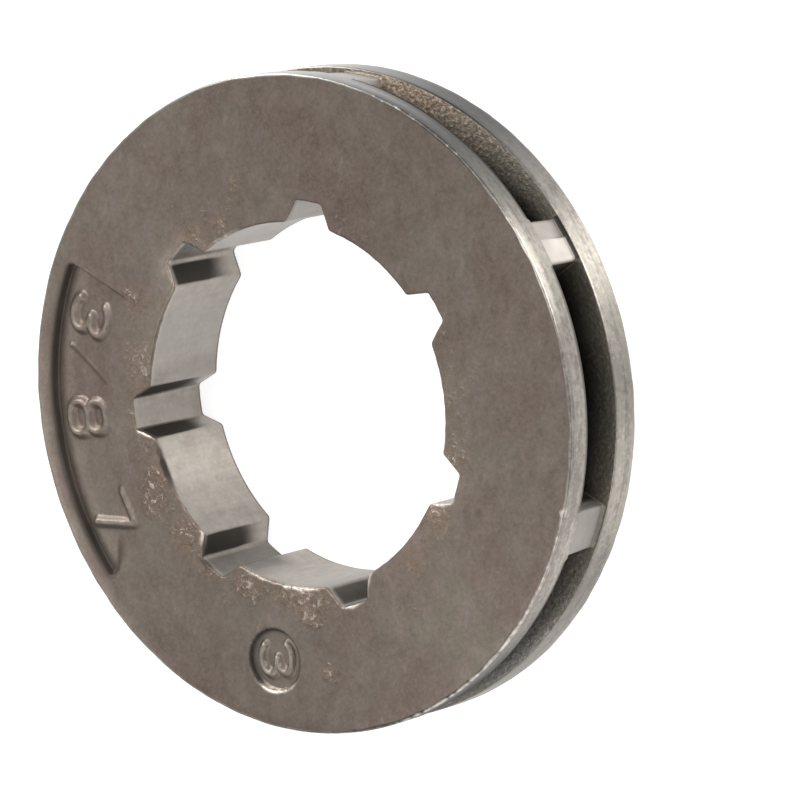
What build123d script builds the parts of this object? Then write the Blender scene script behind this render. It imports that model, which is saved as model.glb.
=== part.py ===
from build123d import *
import os
from math import cos, hypot, radians, sin, tan

# A rim sprocket with a splined bore, cast in one piece and turned on its rims.
# It lies on its back face with its axis up. Lengths are in millimetres and
# angles in degrees, counted from the middle of the first tooth, which is on +X.

# Rims and teeth
tooth_count = 7
rim_diameter = 36.0
back_flange_thickness = 1.8
front_flange_thickness = 1.65
gap_width = 2.65
sleeve_diameter = 24.8
tooth_tip_width = 2.55
tooth_flank_angle = 3.5
tooth_base_radius = 2.0
tip_drop_front = 0.12
tip_drop_back = 0.28

# Splined bore: lands that ride on the drum, grooves that its splines fill
land_diameter = 19.9
groove_depth = 1.25
groove_mouth_width = 2.81
groove_root_width = 1.68
land_corner_radius = 0.3
root_corner_radius = 0.25

# Broken edges
rim_edge_chamfer = 0.15
gap_edge_chamfer = 0.08
bore_edge_chamfer = 0.15

# Sunk size panel, deepest at its outer wall, and a sunk disc in the front face
panel_angle = 155.3
panel_span = 64.2
panel_outer_radius = 16.95
panel_inner_radius = 12.5
panel_depth = 0.55
panel_wall_slant = 0.1
disc_angle = 230.6
disc_centre_radius = 14.35
disc_diameter = 3.6
disc_depth = 0.3

# How far a cutting profile runs past what it cuts, and how near a corner
# has to lie to a circle to count as on it
run_out = 1.0
corner_reach = 0.01

rim_radius = rim_diameter / 2
sleeve_radius = sleeve_diameter / 2
land_radius = land_diameter / 2
root_radius = land_radius + groove_depth
gap_bottom = back_flange_thickness
gap_top = gap_bottom + gap_width
total_width = gap_top + front_flange_thickness


def corners_at(sketch, radius):
    """The corners of a sketch that lie on a circle about the axis."""
    return [v for v in sketch.vertices() if abs(hypot(v.X, v.Y) - radius) < corner_reach]


def flange_profile(face_height, gap_height):
    """Half a section through a flange, from its outer face to its side in the gap."""
    upside_down = face_height > gap_height
    with BuildSketch(Plane.XZ) as profile:
        with Locations((0, min(face_height, gap_height))):
            Rectangle(rim_radius, abs(face_height - gap_height), align=Align.MIN)
        rim_corners = profile.vertices().group_by(Axis.X)[-1]
        face_corner, gap_corner = rim_corners.sort_by(Axis.Y, reverse=upside_down)
        chamfer(face_corner, rim_edge_chamfer)
        chamfer(gap_corner, gap_edge_chamfer)
    return profile.sketch


def web_outline():
    """The sleeve and the teeth, seen along the axis: the pockets are what they leave."""
    widening = rim_radius * tan(radians(tooth_flank_angle))
    half_tip = tooth_tip_width / 2
    with BuildSketch() as web:
        Circle(sleeve_radius)
        with PolarLocations(0, tooth_count):
            Polygon(
                (0, -half_tip - widening),
                (rim_radius, -half_tip),
                (rim_radius, half_tip),
                (0, half_tip + widening),
                align=None,
            )
        fillet(corners_at(web, sleeve_radius), tooth_base_radius)
    return web.sketch


def spline_outline():
    """The opening of the bore, with one straight-sided groove under each tooth."""
    slope = (groove_mouth_width - groove_root_width) / 2 / groove_depth
    inner_half = groove_mouth_width / 2 + slope * run_out
    outer_half = groove_root_width / 2 - slope * run_out
    with BuildSketch() as spline:
        with PolarLocations(0, tooth_count):
            Polygon(
                (land_radius - run_out, -inner_half),
                (root_radius + run_out, -outer_half),
                (root_radius + run_out, outer_half),
                (land_radius - run_out, inner_half),
                align=None,
            )
        Circle(root_radius, mode=Mode.INTERSECT)
        Circle(land_radius)
        fillet(corners_at(spline, root_radius), root_corner_radius)
        fillet(corners_at(spline, land_radius), land_corner_radius)
    return spline.sketch


def bore_edges(part):
    """The edges of the splined opening in the two outer faces."""
    ends = part.edges().group_by(Axis.Z)
    return [e for e in ends[0] + ends[-1] if hypot((e @ 0.5).X, (e @ 0.5).Y) < sleeve_radius]


panel_start = radians(panel_angle - panel_span / 2)
panel_start_plane = Plane(
    origin=(0, 0, 0),
    x_dir=(cos(panel_start), sin(panel_start), 0),
    z_dir=(sin(panel_start), -cos(panel_start), 0),
)

with BuildPart() as rim_sprocket:
    # Two flanges and the web between them
    add(flange_profile(0, gap_bottom))
    add(flange_profile(total_width, gap_top))
    revolve(axis=Axis.Z)
    with BuildSketch(Plane.XY.offset(gap_bottom)):
        add(web_outline())
    extrude(amount=gap_width)

    # Tooth tips, a little below the rims and lower towards the back
    with BuildSketch(Plane.XZ):
        Polygon(
            (rim_radius - tip_drop_back, gap_bottom),
            (rim_radius + run_out, gap_bottom),
            (rim_radius + run_out, gap_top),
            (rim_radius - tip_drop_front, gap_top),
            align=None,
        )
    revolve(axis=Axis.Z, mode=Mode.SUBTRACT)

    # Splined bore, with both mouths broken
    with BuildSketch():
        add(spline_outline())
    extrude(amount=total_width, mode=Mode.SUBTRACT)
    chamfer(bore_edges(rim_sprocket), bore_edge_chamfer)

    # Size panel: a wedge turned about the axis, so that its floor runs out inwards
    with BuildSketch(panel_start_plane):
        Polygon(
            (panel_inner_radius, total_width),
            (panel_outer_radius - panel_wall_slant, total_width - panel_depth),
            (panel_outer_radius, total_width),
            (panel_outer_radius, total_width + run_out),
            (panel_inner_radius, total_width + run_out),
            align=None,
        )
    revolve(axis=Axis.Z, revolution_arc=panel_span, mode=Mode.SUBTRACT)

    # Sunk disc
    with BuildSketch(Plane.XY.offset(total_width)):
        with PolarLocations(disc_centre_radius, 1, start_angle=disc_angle):
            Circle(disc_diameter / 2)
    extrude(amount=-disc_depth, mode=Mode.SUBTRACT)

rim_sprocket.part.label = "rim_sprocket"

os.makedirs("parts", exist_ok=True)
export_step(rim_sprocket.part, "parts/rim_sprocket.step")
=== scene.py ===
import math
import bpy
import numpy as np
from mathutils import Matrix, Vector


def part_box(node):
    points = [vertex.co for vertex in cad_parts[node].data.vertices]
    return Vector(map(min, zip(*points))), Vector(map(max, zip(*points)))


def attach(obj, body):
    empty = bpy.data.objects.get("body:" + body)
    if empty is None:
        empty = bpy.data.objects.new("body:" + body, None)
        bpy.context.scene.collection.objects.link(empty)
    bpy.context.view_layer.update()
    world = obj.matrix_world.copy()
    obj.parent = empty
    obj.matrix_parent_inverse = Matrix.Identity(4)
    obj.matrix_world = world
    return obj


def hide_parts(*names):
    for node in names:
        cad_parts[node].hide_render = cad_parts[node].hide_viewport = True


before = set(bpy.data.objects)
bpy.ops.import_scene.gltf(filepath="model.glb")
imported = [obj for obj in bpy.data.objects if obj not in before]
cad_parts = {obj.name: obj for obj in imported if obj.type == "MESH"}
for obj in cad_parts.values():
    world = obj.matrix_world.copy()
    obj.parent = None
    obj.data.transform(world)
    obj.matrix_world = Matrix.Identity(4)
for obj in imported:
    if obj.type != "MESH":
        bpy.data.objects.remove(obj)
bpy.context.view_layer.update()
nodeName = "rim_sprocket"
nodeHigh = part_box(nodeName)[1]
scene = bpy.context.scene
mm = 0.001                                # the frame is in metres, the shapes below in millimetres
turn = 2 * math.pi
rimRadius = nodeHigh.x / mm
width = nodeHigh.z / mm
print("frame loaded:", round(rimRadius * 2, 3), "mm across,", round(width, 3), "mm wide")


def addObject(name, data):
    obj = bpy.data.objects.new(name, data)
    scene.collection.objects.link(obj)
    return obj


# Camera: where it stands, what it aims at and how far it is turned about its line of sight

camera = dict(
    place=Vector((161.967, -51.937, 223.822)) * mm,
    aim=Vector((4.240, -2.369, 3.050)) * mm,
    roll=math.radians(-103.139),
    lens=230.35,
    sensor=36.0,
    near=0.01,
    far=10.0,
)


def makeCamera():
    data = bpy.data.cameras.new("studio_camera")
    data.lens, data.sensor_width = camera["lens"], camera["sensor"]
    data.clip_start, data.clip_end = camera["near"], camera["far"]
    obj = addObject("studio_camera", data)
    look = (camera["aim"] - camera["place"]).to_track_quat("-Z", "Y").to_matrix().to_4x4()
    rolled = Matrix.Rotation(camera["roll"], 4, "Z")
    obj.matrix_world = Matrix.Translation(camera["place"]) @ look @ rolled
    scene.camera = obj


makeCamera()
print("camera placed")

# Shape of the casting: one closed surface, angle round the axis by steps round the section

web = dict(
    teeth=7,
    backFlange=1.8,                       # flange widths, the gap is what they leave
    frontFlange=1.65,
    sleeveRadius=12.4,
    tipDropFront=0.12,                    # how far the tips lie below the rims
    tipDropBack=0.28,
    tipWidth=2.55,
    flankTilt=math.radians(3.5),
    tipCorner=0.2,
    baseCorner=2.0,
    ledgeBelow=(0.45, 0.25),              # how far below the rims its bare tip starts and is full,
    topBelow=(1.2, 0.4),                  # and the smaller rounding of the flange edge over it
    stepAngle=math.radians(0.4),          # the moulding step across the first tooth's tip
    stepWidth=math.radians(0.5),
    stepDropFront=0.02,
    stepDropBack=0.08,
    lumpAngle=math.radians(-74.3),        # a lump on the back flange, in the gap
    lumpRadius=17.3,
    lumpReach=0.45,
    lumpHeight=0.16,
)

bore = dict(
    landRadius=9.95,
    rootRadius=11.2,
    mouthWidth=2.81,
    rootWidth=1.68,
    landCorner=0.3,
    rootCorner=0.25,
    landEnd=0.3,                          # shares of a groove's depth where its parts start and end
    flankStart=(0.02, 0.14),
    flankEnd=(0.82, 0.96),
    rootStart=0.8,
    shadeRise=(0.6, 2.8),                  # heights between which painted shade comes in on the flanks and above which there is less of it, by this share
    shadeFall=5.2,                         # and above which there is less of it, by this share
    shadeFade=0.3,
    darkRise=(3.6, 5.4),                  # heights between which painted shade darkens some roots
)

edges = dict(
    face=0.15,                            # roundings: faces to rims, rims to gap, bore mouths
    faceWave=0.022,                       # how unevenly the outer edge is worn
    faceCalm=(-84, 36, 0.7),              # and where it is more even
    gap=0.08,
    gapIn=0.13,                           # the front flange's edge to the gap is more rounded,
    gapUp=0.3,                            # inwards and along the axis, but not over the teeth
    bore=0.12,
    boreWave=0.2,
    # Humps round the axis, each a place and a reach in degrees with an amount in millimetres: a softer
    # bore mouth, how much further that reaches down the wall, and chips and wear on the outer edge
    boreSoft=[(234, 20, 0.08), (197.5, 4, 0.06), (262, 8, 0.05), (302, 7, 0.05), (318, 44, -0.07),
              (115, 34, 0.04)],
    boreDrop=[(128, 26, 0.22), (172, 12, 0.08), (232, 20, 0.04)],
    innerCorner=0.14,                     # where the web meets the flanges
    steps=4,                              # rows over a rounding
    chips=[(-46.3, 1.0, 0.13), (244.0, 0.8, 0.05), (31.0, 0.8, 0.02), (46.5, 0.8, 0.02),
           (12.5, 0.7, 0.03), (203.0, 0.9, 0.04), (-20.0, 0.7, 0.03), (96.0, 0.9, 0.04),
           (-71.0, 1.2, 0.04), (-66.0, 30.0, 0.05), (182.0, 34.0, 0.04), (-4.0, 16.0, 0.04)],
)

panel = dict(
    angle=math.radians(155.3),
    span=math.radians(64.2),
    outerRadius=16.95,
    innerRadius=12.0,
    depth=0.55,
    floorBend=0.7,                        # below 1 the floor drops faster near the bore
    floorStart=0.45,                      # share of its width over which the floor eases in
    wallSlant=0.1,
    nearSlant=0.2,
    farSlant=2.2,                         # its end by the last numeral runs out softly,
    farSlantOut=0.5,                      # but for its outer corner
    cornerFrom=14.8,
    cornerTo=16.85,
    cornerRadius=0.55,
    dirtAndShade=0.66,                            # painted shade along the outer wall, fading over the floor
    shadeReach=0.3,
    shadeBend=1.3,
    shadePast=(-0.06, 0.3),                # and past the outline
    darkest=(177, 11, 0.16),              # where round the axis the painted shade is darker
    lip=0.3,                              # wear and a painted highlight along its outline
    floorLight=0.35,                      # painted light lifts its deep floor between these radii
    lightFrom=15.3,
    lightTo=16.4,
)

disc = dict(
    angle=math.radians(230.6),
    centreRadius=14.3,
    radius=1.78,
    depth=0.32,
    wallSlant=0.16,
    dirtAndShade=0.9,                             # painted shade along its wall, most this far inside the outline
    shadeIn=0.1,
    shadeReach=0.16,
    bright=math.radians(248),             # but the wall has a painted highlight on this side, between these cosines of the angle to it
    brightFrom=0.55,                      # between these cosines of the angle to it
    brightTo=0.9,
    lip=0.75,
    lipReach=0.28,
)

grid = dict(
    coarse=1.3,                           # steps between columns, in degrees
    teeth=0.45,
    marks=0.3,
    ends=0.15,
    details=0.4,
    toothReach=8.8,                       # degrees from a tooth, a panel end, the moulding step and
    endReach=0.8,                         # the lump within which the finer steps are used
    stepReach=0.5,
    lumpReach=2.2,
    markRows=0.1,                         # rows over the sunk marks, in millimetres,
    wallRows=(-0.2, -0.12, -0.05, 0, 0.03, 0.06, 0.09, 0.13, 0.2),       # and about the panel's wall
    outerRow=17.35,                       # and one row outside it
)


# 0 below low, 1 above high, and the usual cubic between them
def smoothStep(value, low, high):
    t = np.clip((value - low) / (high - low), 0, 1)
    return t * t * (3 - 2 * t)


# A smooth hump of height 1 at a centre, 0 beyond its reach
def hump(value, centre, reach):
    return 1 - smoothStep(np.abs(value - centre), 0, reach)


# Wavy values of about -1 to 1 round the full turn: cosines of whole wave counts with drawn phases
def roundWaves(angle, seed, lowest, highest):
    draw = np.random.default_rng(seed)
    counts = np.arange(lowest, highest)
    phases = draw.uniform(0, turn, len(counts))
    sizes = draw.normal(0, 1, len(counts)) / math.sqrt(len(counts) / 2)
    return np.cos(angle[..., None] * counts + phases) @ sizes


# Signed angle from a place, the short way round, in degrees
def degreesFrom(angle, place):
    return (np.degrees(angle) - place + 180) % 360 - 180


# Sum of humps round the axis, each a place and a reach in degrees with an amount
def humpsAround(angle, humps):
    return sum(amount * hump(degreesFrom(angle, place), 0, reach) for place, reach, amount in humps)


# Offsets of points from a place, x and y. Points and place are given by angle and radius
def offsetFrom(angle, radius, placeAngle, placeRadius):
    x = radius * np.cos(angle) - placeRadius * math.cos(placeAngle)
    return x, radius * np.sin(angle) - placeRadius * math.sin(placeAngle)


# Rounding of a flank line and a circle: its centre lies one radius off both, outside for side 1 and
# inside for side -1. Gives that centre and the angles where the rounding meets the circle and the flank
def cornerArc(tilt, distance, circle, radius, side):
    off = distance + side * radius
    along = np.sqrt((circle + side * radius) ** 2 - off ** 2)
    x = off * np.sin(tilt) + along * np.cos(tilt)
    y = off * np.cos(tilt) - along * np.sin(tilt)
    flankX = x - side * radius * np.sin(tilt)
    flankY = y - side * radius * np.cos(tilt)
    return x, y, np.arctan2(y, x), np.arctan2(flankY, flankX)


# Polar radius of a toothed outline at an angle from a tooth's middle: the high circle, a rounding,
# a straight flank at the given distance from the axis, a second rounding, then the low circle
def toothedRadius(angle, high, low, tilt, distance, highCorner, lowCorner):
    x1, y1, highEnd, flankStart = cornerArc(tilt, distance, high, highCorner, -1)
    x2, y2, lowStart, flankEnd = cornerArc(tilt, distance, low, lowCorner, 1)
    along1 = x1 * np.cos(angle) + y1 * np.sin(angle)
    across1 = x1 * np.sin(angle) - y1 * np.cos(angle)
    along2 = x2 * np.cos(angle) + y2 * np.sin(angle)
    across2 = x2 * np.sin(angle) - y2 * np.cos(angle)
    highArc = along1 + np.sqrt(np.maximum(highCorner ** 2 - across1 ** 2, 0))
    lowArc = along2 - np.sqrt(np.maximum(lowCorner ** 2 - across2 ** 2, 0))
    flank = distance / np.sin(np.maximum(angle, 0.01) + tilt)
    places = [angle < highEnd, angle < flankStart, angle < flankEnd, angle < lowStart]
    return np.select(places, [high, highArc, flank, lowArc], low)


pitch = turn / web["teeth"]
webDistance = web["tipWidth"] / 2 * math.cos(web["flankTilt"]) + rimRadius * math.sin(web["flankTilt"])
grooveTilt = math.atan2((bore["mouthWidth"] - bore["rootWidth"]) / 2,
                        bore["rootRadius"] - bore["landRadius"])
grooveDistance = (bore["mouthWidth"] / 2 + bore["landRadius"] * math.tan(grooveTilt)) * math.cos(grooveTilt)
gapBottom = web["backFlange"]
gapTop = width - web["frontFlange"]


# Signed angle to the middle of the nearest tooth
def fromTooth(angle):
    return (angle + pitch / 2) % pitch - pitch / 2


# The web between the flanges. The first tooth's far half is set back by a step
def webRadius(angle, tipRadius, stepDrop):
    setBack = stepDrop * smoothStep(angle, web["stepAngle"] - web["stepWidth"] / 2,
                                    web["stepAngle"] + web["stepWidth"] / 2) * (angle < pitch / 2)
    return toothedRadius(np.abs(fromTooth(angle)), tipRadius - setBack, web["sleeveRadius"],
                         web["flankTilt"], webDistance, web["tipCorner"], web["baseCorner"])


# The splined opening, grown by an offset into the metal on all its sides
def boreRadius(angle, offset):
    return toothedRadius(np.abs(fromTooth(angle)), bore["rootRadius"] + offset,
                         bore["landRadius"] + offset, grooveTilt, grooveDistance + offset,
                         bore["rootCorner"] + offset, np.maximum(bore["landCorner"] - offset, 0.02))


# Angles of the columns over the full turn: their density is the inverse of the wanted step, and each
# column stands where the running total of the density passes a whole number
def columnAngles():
    samples = np.linspace(0, 360, 36001)
    angle = np.radians(samples)

    def near(place, reach):
        return np.abs(degreesFrom(angle, place)) < reach

    panelPlace, panelHalf = math.degrees(panel["angle"]), math.degrees(panel["span"]) / 2
    discPlace = math.degrees(disc["angle"])
    discReach = math.degrees((disc["radius"] + 0.1) / disc["centreRadius"])
    byPanelEnd = np.abs(np.abs(degreesFrom(angle, panelPlace)) - panelHalf) < grid["endReach"]
    byStep = near(math.degrees(web["stepAngle"]), grid["stepReach"])
    step = np.full_like(samples, grid["coarse"])
    step = np.where(np.abs(np.degrees(fromTooth(angle))) < grid["toothReach"], grid["teeth"], step)
    step = np.where(near(panelPlace, panelHalf) | near(discPlace, discReach), grid["marks"], step)
    step = np.where(byPanelEnd | byStep, grid["ends"], step)
    details = [(math.degrees(web["lumpAngle"]), grid["lumpReach"])]
    details += [(place, reach) for place, reach, _ in edges["chips"]]
    for place, reach in details:
        step = np.where(near(place, reach), np.minimum(step, grid["details"]), step)
    total = np.concatenate([[0], np.cumsum(0.01 / step[:-1])])
    count = int(round(total[-1]))
    return np.radians(np.interp(np.arange(count) * total[-1] / count, total, samples))


# Depth of the panel's floor: it drops in a bent line from nothing to its outer wall
def wedgeDepth(radius):
    floorEnd = panel["outerRadius"] - panel["wallSlant"]
    share = np.clip((radius - panel["innerRadius"]) / (floorEnd - panel["innerRadius"]), 0, 1)
    return panel["depth"] * share ** panel["floorBend"] * smoothStep(share, 0, panel["floorStart"])


# Distance from the panel's outline, a box with rounded outer corners, and from the lines of its ends
# and its outer wall. All are negative inside
def panelEdge(angle, radius):
    across = (np.abs(angle - panel["angle"]) - panel["span"] / 2) * radius
    along = radius - panel["outerRadius"]
    corner = panel["cornerRadius"]
    outside = np.hypot(np.maximum(across + corner, 0), np.maximum(along + corner, 0)) - corner
    return np.where(outside > -corner, outside, np.maximum(across, along)), across, along


# Distance of points to a straight stroke
def segmentDistance(x, y, start, end):
    dx, dy = end[0] - start[0], end[1] - start[1]
    t = np.clip(((x - start[0]) * dx + (y - start[1]) * dy) / (dx * dx + dy * dy), 0, 1)
    return np.hypot(x - start[0] - t * dx, y - start[1] - t * dy)


# Distance of points to an oval arc, taken over short chords of it. Above 2 its corners are squarer
def arcDistance(x, y, centre, halfWidth, halfHeight, fromDegrees, toDegrees, squareness=2.0):
    turns = np.radians(np.linspace(fromDegrees, toDegrees, 25))
    power = 2 / squareness
    px = centre[0] + halfWidth * np.sign(np.cos(turns)) * np.abs(np.cos(turns)) ** power
    py = centre[1] + halfHeight * np.sign(np.sin(turns)) * np.abs(np.sin(turns)) ** power
    chords = [segmentDistance(x, y, (px[k], py[k]), (px[k + 1], py[k + 1])) for k in range(24)]
    return np.minimum.reduce(chords)


# Centre lines of the raised numerals, in millimetres about their middle, x to the right and y up
def digitDistance(name, x, y):
    if name == "3":
        upper = arcDistance(x, y, (0.02, 0.5), 0.9, 0.62, 152, -90)
        lower = arcDistance(x, y, (0.02, -0.78), 0.92, 0.66, 90, -152)
        return np.minimum(upper, lower)
    if name == "8":
        upper = arcDistance(x, y, (0.02, 0.58), 0.82, 0.67, 0, 360, 2.7)
        lower = arcDistance(x, y, (0.0, -0.76), 0.88, 0.67, 0, 360, 2.7)
        return np.minimum(upper, lower)
    if name == "7":
        bar = segmentDistance(x, y, (-0.98, 1.13), (1.0, 1.05))
        return np.minimum(bar, segmentDistance(x, y, (1.0, 1.05), (-0.3, -1.55)))
    return segmentDistance(x, y, (-0.92, -1.33), (0.8, 1.5))


# Height of the raised numerals over the floor they stand on: a crest with long slopes
numerals = dict(
    size=[("3", 132.1), ("/", 143.05), ("8", 154.6), ("7", 177.1)],      # places in degrees
    middleRadius=14.55,
    broad=dict(crest=0.05, foot=0.42, tallest=0.34),     # half widths of a stroke at its top and foot
    thin=dict(crest=0.0, foot=0.22, tallest=0.3),        # low but for its outer end
    thinLow=0.2,
    thinFrom=15.7,
    thinTo=16.2,
    # Painted shade over the slash's low inner part
    thinShade=0.5,
    sink=0.01,                            # tops stay this far below the face
    wearAndGlint=0.36,
    discScale=(0.9, 0.8),
    discFoot=0.32,
    discTurn=math.radians(-25.7),         # this numeral's top points this way round from +X
    discShift=(-0.1, 0.24),
)


# Share of full height at a distance from a stroke's middle
def strokeShare(distance, crest, foot):
    return 1 - smoothStep(distance, crest, foot)


# Depth of the sunk panel with its numerals standing up, painted shade along its outer wall and by the
# slash's low foot, wear on the strokes, and wear with a painted highlight on its lip
def panelRelief(angle, radius):
    edge, acrossEnd, alongWall = panelEdge(angle, radius)
    byCorner = smoothStep(radius, panel["cornerFrom"], panel["cornerTo"])
    farSlant = panel["farSlant"] * (1 - byCorner) + panel["farSlantOut"] * byCorner
    endSlant = np.where(angle > panel["angle"], farSlant, panel["nearSlant"])
    wedge = wedgeDepth(radius)
    floor = wedge * (1 - smoothStep(edge, -panel["wallSlant"], 0.0))
    floor = floor * (1 - smoothStep(acrossEnd, -endSlant, 0.0))
    raised = strokes = thinFoot = np.zeros_like(floor)
    middle, low = numerals["middleRadius"], numerals["thinLow"]
    for name, place in numerals["size"]:
        away = angle - math.radians(place)
        x, y = radius * np.sin(away), middle - radius * np.cos(away)
        shape = numerals["thin"] if name == "/" else numerals["broad"]
        share = strokeShare(digitDistance(name, x, y), shape["crest"], shape["foot"])
        height = np.clip(floor - numerals["sink"], 0, shape["tallest"])
        if name == "/":
            outerEnd = smoothStep(radius, numerals["thinFrom"], numerals["thinTo"])
            height, thinFoot = height * (low + (1 - low) * outerEnd), share * (1 - outerEnd)
        else:
            strokes = np.maximum(strokes, share)
        raised = np.maximum(raised, share * height)
    inwards = np.maximum(-alongWall - panel["wallSlant"], 0)
    dirtAndShade = panel["dirtAndShade"] * np.exp(-(inwards / panel["shadeReach"]) ** panel["shadeBend"])
    dirtAndShade = dirtAndShade * (1 - smoothStep(edge, *panel["shadePast"])) * (1 + humpsAround(angle, [panel["darkest"]]))
    dirtAndShade = dirtAndShade * (1 - 0.8 * smoothStep(raised, 0.03, 0.2)) + numerals["thinShade"] * thinFoot
    lip = hump(edge, 0.08, 0.2) * smoothStep(wedge, 0.1, 0.3) * (radius < panel["outerRadius"] - 0.3)
    return floor - raised, dirtAndShade, np.maximum(numerals["wearAndGlint"] * strokes, panel["lip"] * lip)


# The same for the sunk disc: painted shade on its wall but for the side with a painted highlight
def discRelief(angle, radius):
    x, y = offsetFrom(angle, radius, disc["angle"], disc["centreRadius"])
    out = np.hypot(x, y)
    hollow = disc["depth"] * (1 - smoothStep(out, disc["radius"] - disc["wallSlant"], disc["radius"]))
    upX, upY = math.cos(numerals["discTurn"]), math.sin(numerals["discTurn"])
    across, along = numerals["discScale"]
    u = (x * upY - y * upX) / across - numerals["discShift"][0]
    v = (x * upX + y * upY) / along - numerals["discShift"][1]
    distance = digitDistance("3", u, v) * along
    share = strokeShare(distance, numerals["broad"]["crest"], numerals["discFoot"])
    raised = share * np.maximum(hollow - numerals["sink"], 0)
    towards = (x * math.cos(disc["bright"]) + y * math.sin(disc["bright"])) / np.maximum(out, 0.01)
    bright = smoothStep(towards, disc["brightFrom"], disc["brightTo"])
    dirtAndShade = np.exp(-np.abs(disc["radius"] - disc["shadeIn"] - out) / disc["shadeReach"])
    dirtAndShade = disc["dirtAndShade"] * dirtAndShade * (out < disc["radius"] + 0.02) * (1 - bright) * (1 - 0.5 * share)
    lip = bright * hump(out, disc["radius"], disc["lipReach"])
    return hollow - raised, dirtAndShade, np.maximum(numerals["wearAndGlint"] * share * (hollow > 0), disc["lip"] * lip)


# How far the front face lies below its plane, its painted shade in the marks, and its wear with painted
# highlights on the lips
def frontRelief(angle, radius):
    return [np.maximum(*pair) for pair in zip(panelRelief(angle, radius), discRelief(angle, radius))]


# Sine and cosine shares of a quarter round, from its start to its end without either
def edgeTurn(count):
    quarter = np.linspace(0, math.pi / 2, count + 2)[1:-1]
    return 1 - np.cos(quarter), np.sin(quarter)


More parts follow.
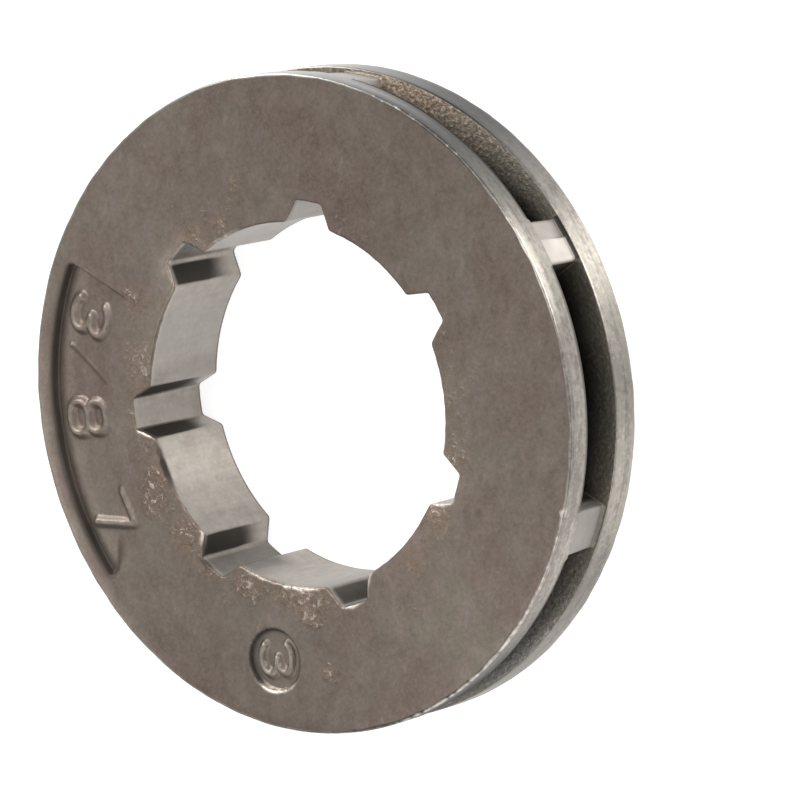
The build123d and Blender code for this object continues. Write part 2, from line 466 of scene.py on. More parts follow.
# Where the finish changes: humps round the axis, each a place and a reach in degrees with an amount.
# A tone makes its part lighter or, below 0, darker; on the rims, bore, gap, tooth tips and the face's outer
# stretch it is painted light and shade
finish = dict(
    base=dict(outerWearGlint=0.22, chipWear=3, boreWearGlint=0.1, boreDirt=0.3),
    # Wear on the outer edge, which also paints its highlights
    outerWearGlint=[(36, 40, 0.12), (-2, 16, 0.3), (-52, 30, 0.15), (-84, 28, 0.34), (262, 12, 0.2),
               (100, 40, 0.15)],
    # Wear on the bore mouth, with a painted highlight along its lower edge
    boreWearGlint=[(238, 13, 0.78), (222, 12, 0.42), (84, 13, 0.45), (160.6, 2.2, 1.0), (197.5, 2.5, 0.8),
              (256, 5, 0.8), (266, 5, 0.7), (303, 5, 0.9), (320, 14, 0.3), (350, 12, 0.2)],
    boreDirt=[(172, 12, 0.6), (114, 32, -0.5), (203, 5, 0.4), (315, 45, -0.3)],
    # Front face: all of it, its first stretch from the bore, and its last one to the outer edge, where it
    # is painted light
    faceTone=[(24, 36, -0.12), (65, 40, -0.08), (285, 50, 0.14), (215, 40, -0.06)],
    nearTone=[(113, 36, 0.28), (172, 14, 0.15), (300, 60, 0.12)],
    outerLight=[(168, 50, 0.86), (-75, 30, 0.15), (235, 20, -0.18)],
    # Rims: a painted highlight on the outer edge, painted light and shade on both rims, a painted cool
    # reflection where they are cool grey, painted shade on the front rim that grows towards the gap, and
    # painted shade on its edge to the gap
    edgeHighlight=[(-5, 16, 1.15), (-30, 16, -0.25), (-56, 18, -0.25), (38, 26, -0.38), (26, 14, 0.12),
              (-89, 24, 0.1)],
    frontRimLight=[(-1, 9, 0.3), (-18, 10, -0.2), (23, 27, -0.7), (-54, 14, 0.25), (-92, 32, -0.85),
               (62, 12, 0.6)],
    backRimLight=[(-4, 14, 0.98), (-26, 10, -0.26), (32, 32, -0.76), (-45, 16, 0.22), (-87, 24, -0.3),
              (-63, 14, -0.28), (62, 10, 0.5)],
    rimCoolReflection=[(36, 34, 0.7), (75, 40, 0.5), (128, 24, 0.6)],
    lowRimShade=[(-92, 32, 0.85)],
    gapEdgeShade=[(-78, 26, 0.6), (36, 24, 0.85)],
    # Bore: painted light and shade on lands and groove roots, painted light on lands towards the back,
    # painted shade on roots towards the front, and painted shade on the groove flanks
    landLight=[(172, 14, 0.35), (214, 12, -0.6), (101, 9, -0.2), (143, 7, -0.2), (194, 8, -0.15),
              (246, 9, -0.3)],
    rootShade=[(154.3, 12, -0.2), (205.7, 12, -0.5), (257.1, 12, -0.75), (51.4, 12, -0.3)],
    backLight=[(214, 12, 0.7)],
    frontDark=[(102.9, 12, 0.45), (51.4, 12, 0.3)],
    grooveShade=[(102.9, 25, 1.0), (154.3, 25, 1.1), (205.7, 25, 1.05), (257.1, 25, 0.8), (0, 25, 1.0)],
    # Gap: painted light on the tooth tips and the first one's two halves, a painted shadow line along its
    # step, painted shade where the teeth meet the back flange, and the flange's own painted shade, painted
    # light and shade, painted light on its edge, cool stretch and grains
    tipLight=[(-51.4, 12, -0.14), (51.4, 12, -0.1)],
    firstTipLight=(1.2, 0.36),
    firstReach=8,                         # degrees about the first tooth's middle,
    firstStep=(0.2, 0.6),                 # and those that its step takes
    stepShadow=(0.5, 0.35, 0.45),
    ledgeShade=[(0, 20, 0.75), (-51.4, 20, 0.35), (51.4, 20, 0.15)],
    gapShade=[(-24, 26, 0.12), (8, 8, 0.2)],
    deepShade=(0.4, 2.4),                  # how far below the edge the painted shade deep in the gap starts and is full, the flange's own painted shade, and the end of the painted light on its edge
    edgeReach=(0.1, 1.1),                 # the flange's own dirt,
    glowReach=(0.1, 0.7),                 # and the end of the lighter edge
    gapShading=[(-26, 26, -0.38), (38, 28, 0.45), (50, 14, 0.25), (-74, 26, -0.2), (-8, 10, -0.3)],
    gapLight=[(-76, 28, 1.25), (-30, 40, 0.2)],
    gapCool=[(-82, 28, 0.9)],
    gapGrains=[(38, 36, 1.0), (90, 60, 0.6), (-74, 3, 0.8), (-78, 26, 0.3)],
    # Nicks on the face, which fade away from the bore, and patches of them, each an angle and a
    # radius with a reach in millimetres and an amount
    nicked=[(200, 50, 0.45), (240, 30, 0.5), (300, 40, 0.42), (340, 30, 0.42), (150, 40, 0.5),
            (95, 40, 0.4), (40, 40, 0.35)],
    nickReach=1.8,
    patches=[(242, 11.3, 1.3, 0.85), (240, 10.7, 0.8, 0.6), (218.5, 10.9, 1.1, 0.85),
             (245, 14.7, 1.1, 0.85), (122, 12.2, 2.2, 0.5), (179, 11.7, 1.9, 0.6), (174, 10.9, 1.1, 0.6),
             (193, 11.2, 1.9, 0.4), (206, 11.3, 1.6, 0.35), (137, 11.1, 1.7, 0.27),
             (281, 11.0, 1.5, 0.45), (274, 13.0, 1.0, 0.4), (317, 10.9, 1.4, 0.3), (298, 10.6, 1.2, 0.5),
             (268, 12.3, 1.5, 0.35), (75, 12.2, 2.0, 0.35), (95, 11.0, 1.2, 0.35), (84, 10.7, 1.0, 0.35)],
)


# The rows round the section: up the bore, out over the front face, down the rims and the gap between
# them, and in over the back face. Each has its part, a radius and a height, its wear with painted glints,
# its dirt with painted shade, and its tone with painted light and shade
def sprocketRows(angle):
    rows = []

    def add(part, radius, height, wearAndGlint=0.0, dirtAndShade=0.0, tone=0.0):
        values = radius, height, wearAndGlint, dirtAndShade, tone
        rows.append([part] + [np.broadcast_to(value, angle.shape) for value in values])

    def around(name):
        return humpsAround(angle, finish[name])

    base = finish["base"]
    chips = humpsAround(angle, edges["chips"])
    faceWave = edges["faceWave"] * (1 - humpsAround(angle, [edges["faceCalm"]]))
    faceEdge = edges["face"] + faceWave * roundWaves(angle, 3, 5, 70) + chips
    backEdge = edges["face"] + edges["faceWave"] * roundWaves(angle, 4, 5, 70)
    boreEdge = edges["bore"] + humpsAround(angle, edges["boreSoft"])
    boreEdge = boreEdge * (1 + edges["boreWave"] * roundWaves(angle, 5, 6, 110))
    boreDrop = boreEdge + humpsAround(angle, edges["boreDrop"])
    gapEdge, inner = edges["gap"], edges["innerCorner"]
    outwards, upwards = edgeTurn(edges["steps"])
    outerWearGlint = np.clip(base["outerWearGlint"] + around("outerWearGlint") + base["chipWear"] * chips, 0, 1)
    boreWearGlint = np.clip(base["boreWearGlint"] + around("boreWearGlint"), 0, 1)
    boreDirt = np.clip(base["boreDirt"] + around("boreDirt") - boreWearGlint, 0, 1)
    faceTone, nearTone, outerLight = around("faceTone"), around("nearTone"), around("outerLight")
    frontRimLight, backRimLight, edgeHighlight = around("frontRimLight"), around("backRimLight"), around("edgeHighlight")

    # Front half of the bore. Its flanks have no painted shade at the back, most past the middle and a
    # little less at the front
    wall = boreRadius(angle, 0.0)
    share = (wall - bore["landRadius"]) / (bore["rootRadius"] - bore["landRadius"])
    isLand = 1 - smoothStep(share, 0.0, bore["landEnd"])
    isRoot = smoothStep(share, bore["rootStart"], 1.0)
    isFlank = smoothStep(share, *bore["flankStart"]) * (1 - smoothStep(share, *bore["flankEnd"]))
    # Painted light and shade on the lands and roots
    wallTone = around("landLight") * isLand + around("rootShade") * isRoot
    flankShade = isFlank * around("grooveShade")

    def flankShadeAt(height):
        fade = bore["shadeFade"] * smoothStep(height, bore["shadeFall"], width)
        return flankShade * float(smoothStep(height, *bore["shadeRise"]) * (1 - fade))

    # Painted shade on some roots towards the front
    darkFront = around("frontDark") * isRoot
    for height in np.linspace(width / 2, width - edges["bore"] * 4, 4):
        tone = wallTone - darkFront * float(smoothStep(height, *bore["darkRise"]))
        add("bore", wall, height, 0, flankShadeAt(height), tone)

    # Its mouth and the front face
    tone = faceTone + nearTone
    for out, up in zip(outwards, upwards):
        height = width - boreDrop * (1 - up)
        add("face", boreRadius(angle, boreEdge * out), height, boreWearGlint, boreDirt, tone)
    for out, share in ((0.0, 0.9), (0.07, 0.5), (0.2, 0.1)):
        add("face", boreRadius(angle, boreEdge + out), width, share * boreWearGlint, share * boreDirt, tone)
    innerOutline, innerCircle = boreRadius(angle, boreEdge + 0.2), panel["innerRadius"] - 0.05
    for share in (0.35, 0.7, 1.0):
        radius = innerOutline * (1 - share) + innerCircle * share
        add("face", radius, width, 0, 0, faceTone + nearTone * (1 - share) ** 1.5)
    floorEnd = panel["outerRadius"] - panel["wallSlant"]
    markRadii = np.arange(panel["innerRadius"] + 0.1, floorEnd - 0.3, grid["markRows"])
    wallRadii = floorEnd + np.array(grid["wallRows"])
    outerRadii = [grid["outerRow"], rimRadius - edges["face"] - 0.25]
    for radius in np.concatenate([markRadii, wallRadii, outerRadii]):
        depth, dirtAndShade, wearAndGlint = frontRelief(angle, np.full_like(angle, radius))
        outer = float(smoothStep(radius, panel["outerRadius"], rimRadius))
        light = panel["floorLight"] * float(smoothStep(radius, panel["lightFrom"], panel["lightTo"]))
        # Painted light towards the outer edge and on the panel's deep floor
        tone = faceTone + outerLight * outer + light * smoothStep(depth, 0.1, 0.4)
        add("face", radius, width - depth, wearAndGlint, dirtAndShade, tone)
    add("face", rimRadius - faceEdge - 0.05, width, 0.1 * outerWearGlint, 0, faceTone + outerLight)

    # The outer edge and the front rim, down to its rounding by the gap, which is small over the teeth.
    # Their tones paint a highlight on the outer edge and light and shade on the rim
    add("rim", rimRadius - faceEdge, width, 0.8 * outerWearGlint, 0, frontRimLight)
    for out, up in zip(outwards[::-1], upwards[::-1]):
        tone = frontRimLight + 0.7 * edgeHighlight
        add("rim", rimRadius - faceEdge * out, width - faceEdge * (1 - up), outerWearGlint, 0, tone)
    # Painted shade low on the front rim and along its edge to the gap
    lowRimShade, gapEdgeShade = around("lowRimShade"), around("gapEdgeShade")
    heights = (width - np.maximum(faceEdge, edges["face"]) - 0.02, width - edges["face"] - 0.3,
               width - edges["face"] - 0.6)
    for height, share, low in zip(heights, (1.0, 0.6, 0.0), (0.2, 0.35, 0.55)):
        add("rim", rimRadius, height, 0.2 * share * outerWearGlint, low * lowRimShade, frontRimLight + share * edgeHighlight)
    frontWeb = webRadius(angle, rimRadius - web["tipDropFront"], web["stepDropFront"])
    backWeb = webRadius(angle, rimRadius - web["tipDropBack"], web["stepDropBack"])

    def nearRim(low, high):
        return smoothStep(frontWeb, rimRadius - low, rimRadius - high)

    toothLedge, overTooth = nearRim(*web["ledgeBelow"]), nearRim(*web["topBelow"])
    besideTooth = 1 - overTooth
    roundIn = edges["gapIn"] * besideTooth + gapEdge * overTooth
    roundUp = edges["gapUp"] * besideTooth + gapEdge * overTooth
    dirtAndShade = np.maximum(0.5 * gapEdgeShade * besideTooth, 0.9 * lowRimShade)
    add("rim", rimRadius, gapTop + edges["gapUp"] + 0.1, 0, dirtAndShade, frontRimLight)
    dirtAndShade = np.maximum((0.15 + 1.2 * gapEdgeShade) * besideTooth, lowRimShade)
    add("rim", rimRadius, gapTop + roundUp, 0, dirtAndShade, frontRimLight - 0.1)
    dirtAndShade = (0.6 + gapEdgeShade) * besideTooth
    for out, up in zip(outwards[::-1], upwards[::-1]):
        add("rim", rimRadius - roundIn * (1 - up), gapTop + roundUp * out, 0, dirtAndShade, frontRimLight - 0.2)

    # The gap: the front flange's side, the web with its teeth, and the back flange's side
    ledge, backLedge = rimRadius - edges["gapIn"] - 0.01, rimRadius - gapEdge - 0.01
    # Painted shade deep in the gap and between the teeth, painted light and shade by angle, and painted
    # light along the back flange's edge
    gapShade = np.clip(around("gapShade"), 0, 1)
    gapShading, gapLight = around("gapShading") * (1 - toothLedge), around("gapLight")
    # Painted light on the tooth tips, brightest on the first tooth and lighter towards the back flange
    lowerHalf, upperHalf = finish["firstTipLight"]
    onFirst = (np.abs(degreesFrom(angle, 0)) < finish["firstReach"]) * 1.0
    pastStep = smoothStep(np.degrees(angle), *finish["firstStep"]) * (angle < pitch / 2)
    tipLight = around("tipLight") + onFirst * (lowerHalf + (upperHalf - lowerHalf) * pastStep)
    tipLight = tipLight * toothLedge
    # Painted shade where the teeth meet the back flange, a painted shadow line at the step, and painted
    # shade on the tooth flanks
    toothShade = toothLedge * around("ledgeShade")
    stepShadow = humpsAround(angle, [finish["stepShadow"]])
    toothFlank = smoothStep(frontWeb, web["sleeveRadius"] + 0.5, web["sleeveRadius"] + 2.0)
    toothFlank = toothFlank * (1 - toothLedge)

    def gapShadeAt(radius):
        below = ledge - radius
        deep = smoothStep(below, *finish["deepShade"])
        return np.clip(deep + gapShade * smoothStep(below, *finish["edgeReach"]), 0, 1)

    for share in (0.0, 0.45, 0.92):
        radius = ledge * (1 - share) + np.minimum(frontWeb + inner, ledge) * share
        add("gap", radius, gapTop, 0, gapShadeAt(radius), gapShading)
    for share in (0.33, 0.67):
        radius = np.minimum(frontWeb + inner * (1 - share) ** 2, ledge)
        dirtAndShade = gapShadeAt(radius) * (1 - toothLedge)
        add("gap", radius, gapTop - inner * share ** 2, toothLedge, dirtAndShade, gapShading + tipLight)
    for share in np.linspace(0, 1, 5):
        height = (gapTop - inner) * (1 - share) + (gapBottom + inner) * share
        radius = frontWeb * (1 - share) + backWeb * share
        dirtAndShade = np.maximum(gapShadeAt(radius) * (1 - toothLedge), 0.7 * toothFlank) + stepShadow
        add("gap", radius, height, toothLedge, dirtAndShade, gapShading + tipLight * (0.55 + 0.5 * share))
    for share in (0.67, 0.33):
        radius = np.minimum(backWeb + inner * (1 - share) ** 2, backLedge)
        dirtAndShade = np.maximum(gapShadeAt(radius) * (1 - toothLedge), toothShade)
        add("gap", radius, gapBottom + inner * share ** 2, 0, dirtAndShade, gapShading)
    for share in (0.92, 0.7, 0.45, 0.25, 0.12, 0.0):
        radius = backLedge * (1 - share) + np.minimum(backWeb + inner, backLedge) * share
        fromLump = np.hypot(*offsetFrom(angle, radius, web["lumpAngle"], web["lumpRadius"]))
        lump = web["lumpHeight"] * hump(fromLump, 0, web["lumpReach"])
        dirtAndShade = np.maximum(gapShadeAt(radius), toothShade)
        tone = gapShading + gapLight * (1 - smoothStep(ledge - radius, *finish["glowReach"]))
        add("gap", radius, gapBottom + lump, 0, dirtAndShade, tone)

    # The back rim with its painted light and shade, the back face and the back half of the bore
    for out, up in zip(outwards[::2], upwards[::2]):
        radius = rimRadius - gapEdge * (1 - up)
        add("rim", radius, gapBottom - gapEdge * out, 0, 0.35 * toothShade, backRimLight - 0.1)
    for height in (gapBottom - gapEdge - 0.1, gapBottom - 0.6, edges["face"] + 0.4, edges["face"] + 0.12):
        add("rim", rimRadius, height, 0, 0, backRimLight)
    for out, up in zip(outwards, upwards):
        add("rim", rimRadius - backEdge * out, backEdge * (1 - up), 0.5, 0, backRimLight)
    backOutline = boreRadius(angle, edges["bore"])
    for share in (0.0, 0.02, 0.3, 0.65, 0.97, 1.0):
        radius = (rimRadius - backEdge) * (1 - share) + backOutline * share
        add("face", radius, 0.0, 0.5 * (share in (0.0, 1.0)))
    for out, up in zip(outwards[::-1], upwards[::-1]):
        add("face", boreRadius(angle, edges["bore"] * out), edges["bore"] * (1 - up), 0.3)
    # Painted light on the lands towards the back
    lightBack = around("backLight") * (1 - isRoot)
    for height in np.linspace(edges["bore"] * 1.6, width / 2, 3)[:-1]:
        add("bore", wall, height, 0, flankShadeAt(height), wallTone + lightBack * (height < 2))
    return rows


# A closed surface from a grid of points that wraps round in both directions, one quad to a cell, with
# named values for each point
def gridMesh(name, points, parts, materials, values):
    rows, columns = points.shape[:2]
    index = np.arange(rows * columns).reshape(rows, columns)
    nextRow, nextColumn = np.roll(index, -1, 0), np.roll(index, -1, 1)
    quads = np.stack([index, nextRow, np.roll(nextRow, -1, 1), nextColumn], -1).reshape(-1, 4)
    mesh = bpy.data.meshes.new(name)
    mesh.from_pydata((points.reshape(-1, 3) * mm).tolist(), [], quads.tolist())
    for material in materials:
        mesh.materials.append(material)
    mesh.polygons.foreach_set("material_index", np.repeat(parts, columns).astype(np.int32))
    for key, value in values.items():
        attribute = mesh.attributes.new(key, "FLOAT", "POINT")
        attribute.data.foreach_set("value", value.ravel().astype(np.float32))
    mesh.shade_smooth()
    mesh.validate()
    return addObject(name, mesh)


# A shader socket that can be used in sums and products, which add Math nodes
class Wire:
    def __init__(self, paint, socket):
        self.paint, self.socket = paint, socket

    def math(self, operation, first, second):
        return self.paint.node("ShaderNodeMath", {"operation": operation}, {0: first, 1: second})

    def __add__(self, other):
        return self.math("ADD", self, other)

    def __radd__(self, other):
        return self.math("ADD", other, self)

    def __sub__(self, other):
        return self.math("SUBTRACT", self, other)

    def __rsub__(self, other):
        return self.math("SUBTRACT", other, self)

    def __mul__(self, other):
        return self.math("MULTIPLY", self, other)

    def __rmul__(self, other):
        return self.math("MULTIPLY", other, self)

    def __abs__(self):
        return self.math("ABSOLUTE", self, 0.0)


# A material, built up node by node
class Paint:
    def __init__(self, name):
        self.material = bpy.data.materials.new(name)
        self.material.use_nodes = True
        self.tree = self.material.node_tree
        self.shader = self.tree.nodes["Principled BSDF"]
        self.place = self.node("ShaderNodeTexCoord", {}, {}, "Object")

    # Adds a node: its settings first, then the values or wires of its inputs
    def node(self, kind, settings, inputs, output=0):
        node = self.tree.nodes.new(kind)
        for key, value in settings.items():
            setattr(node, key, value)
        for key, value in inputs.items():
            self.connect(node.inputs[key], value)
        return Wire(self, node.outputs[output])

    def connect(self, socket, value):
        if isinstance(value, Wire):
            self.tree.links.new(value.socket, socket)
        else:
            socket.default_value = value

    # Object coordinates in millimetres, turned about the axis and then stretched
    def spot(self, stretch=(1, 1, 1), turned=0.0):
        inputs = {"Vector": self.place, "Rotation": (0, 0, turned)}
        turnedPlace = self.node("ShaderNodeMapping", {}, inputs)
        scale = tuple(1 / mm * part for part in stretch)
        return self.node("ShaderNodeVectorMath", {"operation": "MULTIPLY"}, {0: turnedPlace, 1: scale})

    def noise(self, spot, scale, detail=2.0, roughness=0.5, distortion=0.0):
        return self.node("ShaderNodeTexNoise", {}, {"Vector": spot, "Scale": scale, "Detail": detail,
                                                   "Roughness": roughness, "Distortion": distortion})

    # 0 below low and 1 above high, or the other way round if low is the larger
    def band(self, value, low, high):
        inputs = {"Value": value, "From Min": min(low, high), "From Max": max(low, high),
                  "To Min": float(low > high), "To Max": float(low < high)}
        return self.node("ShaderNodeMapRange", {"interpolation_type": "SMOOTHSTEP"}, inputs)

    def value(self, name):
        return self.node("ShaderNodeAttribute", {"attribute_name": name}, {}, "Fac")

    def blend(self, share, first, second):
        first, second = [c if isinstance(c, Wire) else (*c, 1) for c in (first, second)]
        return self.node("ShaderNodeMix", {"data_type": "RGBA"}, {0: share, 6: first, 7: second}, 2)

    def brighten(self, colour, factor):
        return self.node("ShaderNodeVectorMath", {"operation": "SCALE"}, {0: colour, "Scale": factor})

    # Bump height in millimetres
    def bump(self, height):
        return self.node("ShaderNodeBump", {}, {"Height": height, "Distance": mm}, "Normal")

    def finish(self, colour, roughness, metallic, normal):
        sockets = {"Base Color": colour, "Roughness": roughness, "Metallic": metallic, "Normal": normal}
        for key, value in sockets.items():
            self.connect(self.shader.inputs[key], value)
        return self.material


# A base value plus noises, each counted from its middle and times its weight
def varied(base, *parts):
    return sum((weight * (noise - 0.5) for weight, noise in parts), base)


# Cast skin of the faces: warm clouds, fine grain, light nicks by the bore and painted shade in the marks

castSkin = dict(
    warm=(0.205, 0.158, 0.133),
    green=(0.182, 0.157, 0.128),
    mauve=(0.193, 0.152, 0.142),
    stain=(0.205, 0.145, 0.108),
    nick=(0.56, 0.49, 0.43),
    wornGlint=(0.80, 0.72, 0.62),
    dirtAndShade=(0.030, 0.026, 0.022),
    metallic=0.85,
    roughness=0.47,
    smudgeTurn=math.radians(28),
    scratchTurn=math.radians(-38),
)


def castFace():
    paint = Paint("cast_face")
    spot = paint.spot()
    clouds = paint.noise(spot, 0.17)
    blotches = paint.noise(spot, 0.95, 3.0, 0.55)
    smudges = paint.noise(paint.spot((1.0, 0.45, 1.0), castSkin["smudgeTurn"]), 1.3, 4.0, 0.6)
    grain = paint.noise(spot, 4.0, 2.0, 0.6)
    greenish = paint.band(clouds + 0.3 * (blotches - 0.5), 0.3, 0.7)
    colour = paint.blend(greenish, castSkin["warm"], castSkin["green"])
    colour = paint.blend(paint.band(smudges, 0.5, 0.7) * 0.7, colour, castSkin["mauve"])
    nicked = paint.value("nicked")
    stain = paint.band(nicked + 0.9 * (blotches - 0.5), 0.2, 0.8)
    colour = paint.blend(stain * 0.6, colour, castSkin["stain"])
    fine = paint.noise(spot, 8.0, 2.0, 0.6)
    light = varied(1.0, (0.8, clouds), (0.5, smudges), (0.3, blotches), (0.55, grain), (0.15, fine))
    colour = paint.brighten(colour, light * (1 + paint.value("tone")))
    crinkle = paint.noise(spot, 3.0, 4.0, 0.65, 0.5)
    marked = paint.band(nicked + 1.6 * (paint.noise(spot, 1.1, 4.0, 0.6) - 0.5), 0.3, 0.95)
    nicks = paint.band(crinkle, 0.51, 0.67) * marked
    specks = paint.band(paint.noise(spot, 1.5, 3.0, 0.6, 0.5), 0.68, 0.78)
    scratch = paint.noise(paint.spot((0.22, 3.2, 1.0), castSkin["scratchTurn"]), 1.0, 1.0)
    scratches = paint.band(abs(scratch - 0.5), 0.018, 0.0) * paint.band(blotches, 0.48, 0.62)
    lightMarks = paint.band(nicks + 0.4 * specks + 0.25 * scratches, 0.0, 1.0)
    colour = paint.blend(lightMarks * 0.7, colour, castSkin["nick"])
    # Wear, with painted glints on the edges and lips
    wearAndGlint = paint.value("wearAndGlint") * (0.4 + 1.2 * paint.noise(spot, 2.4, 3.0))
    wornGlint = paint.band(wearAndGlint, 0.2, 0.95)
    colour = paint.blend(wornGlint * 0.85, colour, castSkin["wornGlint"])
    # Painted shade in the marks, with dirt by the bore mouth
    dirtAndShade = paint.band(paint.value("dirtAndShade") + 0.2 * (grain - 0.5), 0.05, 0.95)
    colour = paint.blend(dirtAndShade * 0.92, colour, castSkin["dirtAndShade"])
    roughness = castSkin["roughness"] + 0.14 * (smudges - 0.5) - 0.1 * wornGlint + 0.2 * dirtAndShade
    height = 0.008 * grain + 0.016 * smudges + 0.11 * crinkle * marked + 0.06 * crinkle * wornGlint
    return paint.finish(colour, roughness, castSkin["metallic"], paint.bump(height))


# Turned rims: mottled grey with bands round the circumference, a painted cool reflection in places, painted
# light and shade, and worn edges with painted glints

turnedSteel = dict(
    dark=(0.225, 0.202, 0.180),
    light=(0.435, 0.402, 0.362),
    cool=(0.26, 0.265, 0.275),
    greenish=(0.285, 0.275, 0.228),
    wornGlint=(0.66, 0.60, 0.53),
    metallic=1.0,
    roughness=0.38,
)


def turnedRim():
    paint = Paint("turned_rim")
    spot = paint.spot()
    marks = paint.noise(paint.spot((0.3, 0.3, 3.0)), 1.6, 4.0, 0.65)
    bands = paint.noise(paint.spot((0.05, 0.05, 1.9)), 1.0)
    blotches = paint.noise(spot, 0.9, 4.0, 0.6)
    grain = paint.noise(spot, 3.4, 3.0, 0.6)
    share = varied(0.5, (1.1, marks), (1.7, bands), (1.4, grain), (1.1, blotches))
    colour = paint.blend(paint.band(share, 0.0, 1.0), turnedSteel["dark"], turnedSteel["light"])
    greenish = paint.band(blotches + 0.8 * (bands - 0.5), 0.42, 0.66)
    colour = paint.blend(greenish * 0.7, colour, turnedSteel["greenish"])
    # Painted cool reflection
    colour = paint.blend(paint.value("cool") * 0.75, colour, turnedSteel["cool"])
    colour = paint.brighten(colour, 1 + paint.value("tone"))
    # Wear, with painted glints on the outer edge
    wearAndGlint = paint.value("wearAndGlint") + (paint.noise(spot, 2.2, 3.0) - 0.5)
    wornGlint = paint.band(wearAndGlint, 0.35, 0.8)
    colour = paint.blend(wornGlint * 0.8, colour, turnedSteel["wornGlint"])
    # Painted shade low on the front rim, by the gap and on the back rim's edge to it
    dirtAndShade = paint.value("dirtAndShade")
    colour = paint.blend(dirtAndShade * 0.9, colour, castSkin["dirtAndShade"])
    roughness = varied(turnedSteel["roughness"], (0.2, marks), (0.15, blotches)) - 0.04 * wornGlint + 0.4 * dirtAndShade
    height = 0.008 * marks + 0.012 * grain
    return paint.finish(colour, roughness, turnedSteel["metallic"], paint.bump(height))


# Broached bore: smooth lands with faint marks along the axis, and painted shade on the groove flanks

broachedSteel = dict(
    dark=(0.290, 0.258, 0.228),
    light=(0.425, 0.386, 0.342),
    grey=(0.315, 0.305, 0.288),
    dirtAndShade=(0.040, 0.036, 0.031),
    metallic=1.0,
    roughness=0.4,
)


def broachedBore():
    paint = Paint("broached_bore")
    spot = paint.spot()
    marks = paint.noise(paint.spot((2.2, 2.2, 0.22)), 1.5, 3.0, 0.6)
    blotches = paint.noise(spot, 0.6, 3.0)
    grain = paint.noise(spot, 4.5, 3.0)
    mottle = paint.noise(spot, 1.8, 3.0)
    share = varied(0.5, (0.6, marks), (1.1, blotches), (0.5, grain), (0.7, mottle))
    colour = paint.blend(paint.band(share, 0.0, 1.0), broachedSteel["dark"], broachedSteel["light"])
    colour = paint.blend(paint.band(blotches, 0.5, 0.7) * 0.4, colour, broachedSteel["grey"])
    # Painted cool reflection, at the same angles as on the rims
    colour = paint.blend(paint.value("cool") * 0.8, colour, broachedSteel["grey"])
    colour = paint.brighten(colour, 1 + paint.value("tone"))
    # Painted shade on the groove flanks
    dirtAndShade = paint.band(paint.value("dirtAndShade") + 0.3 * (blotches - 0.5), 0.08, 0.75)
    colour = paint.blend(dirtAndShade * 0.93, colour, broachedSteel["dirtAndShade"])
    roughness = broachedSteel["roughness"] + 0.14 * (blotches - 0.5) + 0.2 * dirtAndShade
    height = 0.004 * marks + 0.003 * grain
    return paint.finish(colour, roughness, broachedSteel["metallic"], paint.bump(height))


# Rough skin of the gap: brown grains on the flange, black painted shade further in, bare tooth tips

gapSkin = dict(
    brown=(0.31, 0.25, 0.195),
    olive=(0.275, 0.25, 0.205),
    grain=(0.62, 0.52, 0.42),
    grey=(0.29, 0.285, 0.28),
    tip=(0.34, 0.312, 0.286),
    dirtAndShade=(0.024, 0.021, 0.019),
    metallic=0.85,
    roughness=0.5,
)


def gapCast():
    paint = Paint("gap_cast")
    spot = paint.spot()
    grains = paint.noise(spot, 4.5, 3.0, 0.6)
    coarse = paint.noise(spot, 0.8, 3.0)
    grainy = paint.value("nicked")
    # The tone paints light and shade
    tone = 1 + paint.value("tone")
    olive = paint.band(coarse - 0.5 * grainy, -0.1, 0.4)
    colour = paint.blend(olive, gapSkin["brown"], gapSkin["olive"])
    colour = paint.brighten(colour, (1 + (1.6 * (grains - 0.5) - 0.1) * (0.3 + grainy)) * tone)
    lightGrains = paint.band(grains, 0.54, 0.68) * (0.12 + 0.5 * grainy)
    colour = paint.blend(lightGrains, colour, gapSkin["grain"])
    grey = paint.brighten(gapSkin["grey"], (1 + 1.2 * (grains - 0.5)) * tone)
    colour = paint.blend(paint.value("cool") * 0.8, colour, grey)
    # Painted shade deep in the gap, between the teeth and where they meet the back flange
    dirtAndShade = paint.band(paint.value("dirtAndShade") + 0.25 * (coarse - 0.5), 0.05, 0.85)
    colour = paint.blend(dirtAndShade * 0.94, colour, gapSkin["dirtAndShade"])
    tip = paint.brighten(gapSkin["tip"], tone * (0.75 + 0.5 * coarse))
    bare = paint.band(paint.value("wearAndGlint") + 0.15 * (coarse - 0.5), 0.25, 0.6)
    colour = paint.blend(bare, colour, tip)
    roughness = gapSkin["roughness"] + 0.2 * (grains - 0.5) - 0.1 * bare
    height = 0.05 * grains * (1 - 0.85 * bare)
    return paint.finish(colour, roughness, gapSkin["metallic"], paint.bump(height))


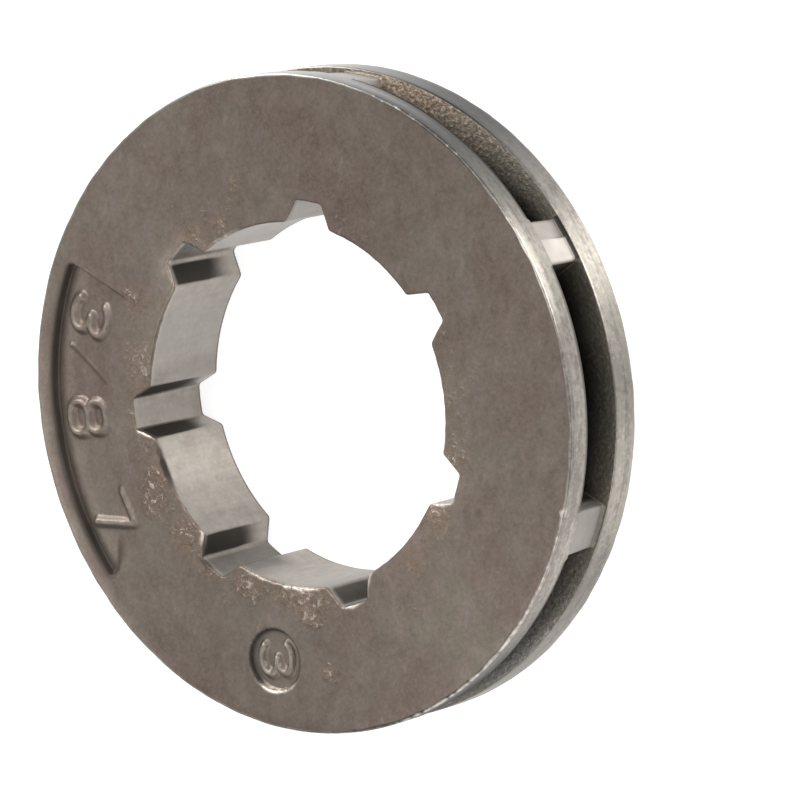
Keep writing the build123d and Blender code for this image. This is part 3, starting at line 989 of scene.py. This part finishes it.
def makeSprocket():
    finishes = dict(face=castFace(), rim=turnedRim(), bore=broachedBore(), gap=gapCast())
    partNames = list(finishes)
    angle = columnAngles()
    rows = sprocketRows(angle)
    parts = np.array([partNames.index(row[0]) for row in rows])
    radius, height, wearAndGlint, dirtAndShade, tone = (np.array([row[k] for row in rows]) for k in range(1, 6))
    points = np.stack([radius * np.cos(angle), radius * np.sin(angle), height], -1)
    inGap = (parts == partNames.index("gap"))[:, None]
    nearBore = np.exp(-np.maximum(radius - bore["rootRadius"], 0) / finish["nickReach"])
    nicked = humpsAround(angle, finish["nicked"]) * nearBore
    for place, away, reach, amount in finish["patches"]:
        distance = np.hypot(*offsetFrom(angle, radius, math.radians(place), away))
        nicked = nicked + amount * hump(distance, 0, reach)
    nicked = np.where(inGap, humpsAround(angle, finish["gapGrains"]), nicked)
    cool = np.where(inGap, humpsAround(angle, finish["gapCool"]), humpsAround(angle, finish["rimCoolReflection"]))
    nicked, cool = np.clip(nicked, 0, 1), np.clip(cool, 0, 1)
    values = dict(wearAndGlint=wearAndGlint, dirtAndShade=dirtAndShade, tone=tone, nicked=nicked, cool=cool)
    sprocket = gridMesh("rim_sprocket_cast", points, parts, finishes.values(), values)
    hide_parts(nodeName)
    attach(sprocket, "root")
    triangles = 2 * len(rows) * len(angle)
    print("sprocket:", len(rows), "rows,", len(angle), "columns,", triangles, "triangles")


makeSprocket()

# Studio: a pale floor that glows a little, and soft square lights placed round the part

studio = dict(
    floorRadius=1.5,
    floorSides=96,
    floorColour=(0.45, 0.45, 0.45, 1),
    floorRoughness=0.9,
    floorGlow=0.78,
    air=0.12,                             # even light from all round
    distance=0.6,                         # of the lights from the part, in metres
    lights=[                              # name, azimuth, elevation, how wide it looks, radiance
        ("right_low", 0, 12, 28, 6.5),
        ("top_side", 70, 50, 46, 3.0),
        ("bottom_side", 303, 52, 46, 1.0),
        ("left_side", 165, 36, 36, 1.2),
        ("up_low", 99, 21, 22, 11.0),
        ("overhead", 0, 90, 30, 1.2),
        ("down_low", 250, 26, 58, 1.4),
    ],
)


def makeFloor():
    mesh = bpy.data.meshes.new("studio_floor")
    sides = studio["floorSides"]
    around = np.linspace(0, turn, sides, endpoint=False)
    ring = studio["floorRadius"] * np.stack([np.cos(around), np.sin(around), np.zeros(sides)], -1)
    mesh.from_pydata(ring.tolist(), [], [list(range(sides))])
    material = bpy.data.materials.new("pale_floor")
    material.use_nodes = True
    shader = material.node_tree.nodes["Principled BSDF"]
    looks = {"Base Color": studio["floorColour"], "Roughness": studio["floorRoughness"],
             "Emission Color": (1, 1, 1, 1), "Emission Strength": studio["floorGlow"]}
    for key, value in looks.items():
        shader.inputs[key].default_value = value
    mesh.materials.append(material)
    floor = addObject("studio_floor", mesh)


# A square light that faces the object. Its power is its radiance times its area times pi
def areaLight(name, azimuth, elevation, distance, size, radiance):
    data = bpy.data.lights.new(name, "AREA")
    data.size = size
    data.energy = radiance * math.pi * size * size
    obj = addObject(name, data)
    a, e = math.radians(azimuth), math.radians(elevation)
    direction = Vector((math.cos(a) * math.cos(e), math.sin(a) * math.cos(e), math.sin(e)))
    obj.location = direction * distance
    obj.rotation_euler = direction.to_track_quat("Z", "Y").to_euler()


def makeWorld():
    world = bpy.data.worlds.new("studio_air")
    world.use_nodes = True
    background = world.node_tree.nodes["Background"]
    background.inputs["Color"].default_value = (1, 1, 1, 1)
    background.inputs["Strength"].default_value = studio["air"]
    scene.world = world


makeFloor()
makeWorld()
for name, azimuth, elevation, wide, radiance in studio["lights"]:
    size = 2 * studio["distance"] * math.tan(math.radians(wide / 2))
    areaLight(name, azimuth, elevation, studio["distance"], size, radiance)
scene.view_settings.view_transform = "Standard"
print("floor and lights placed")
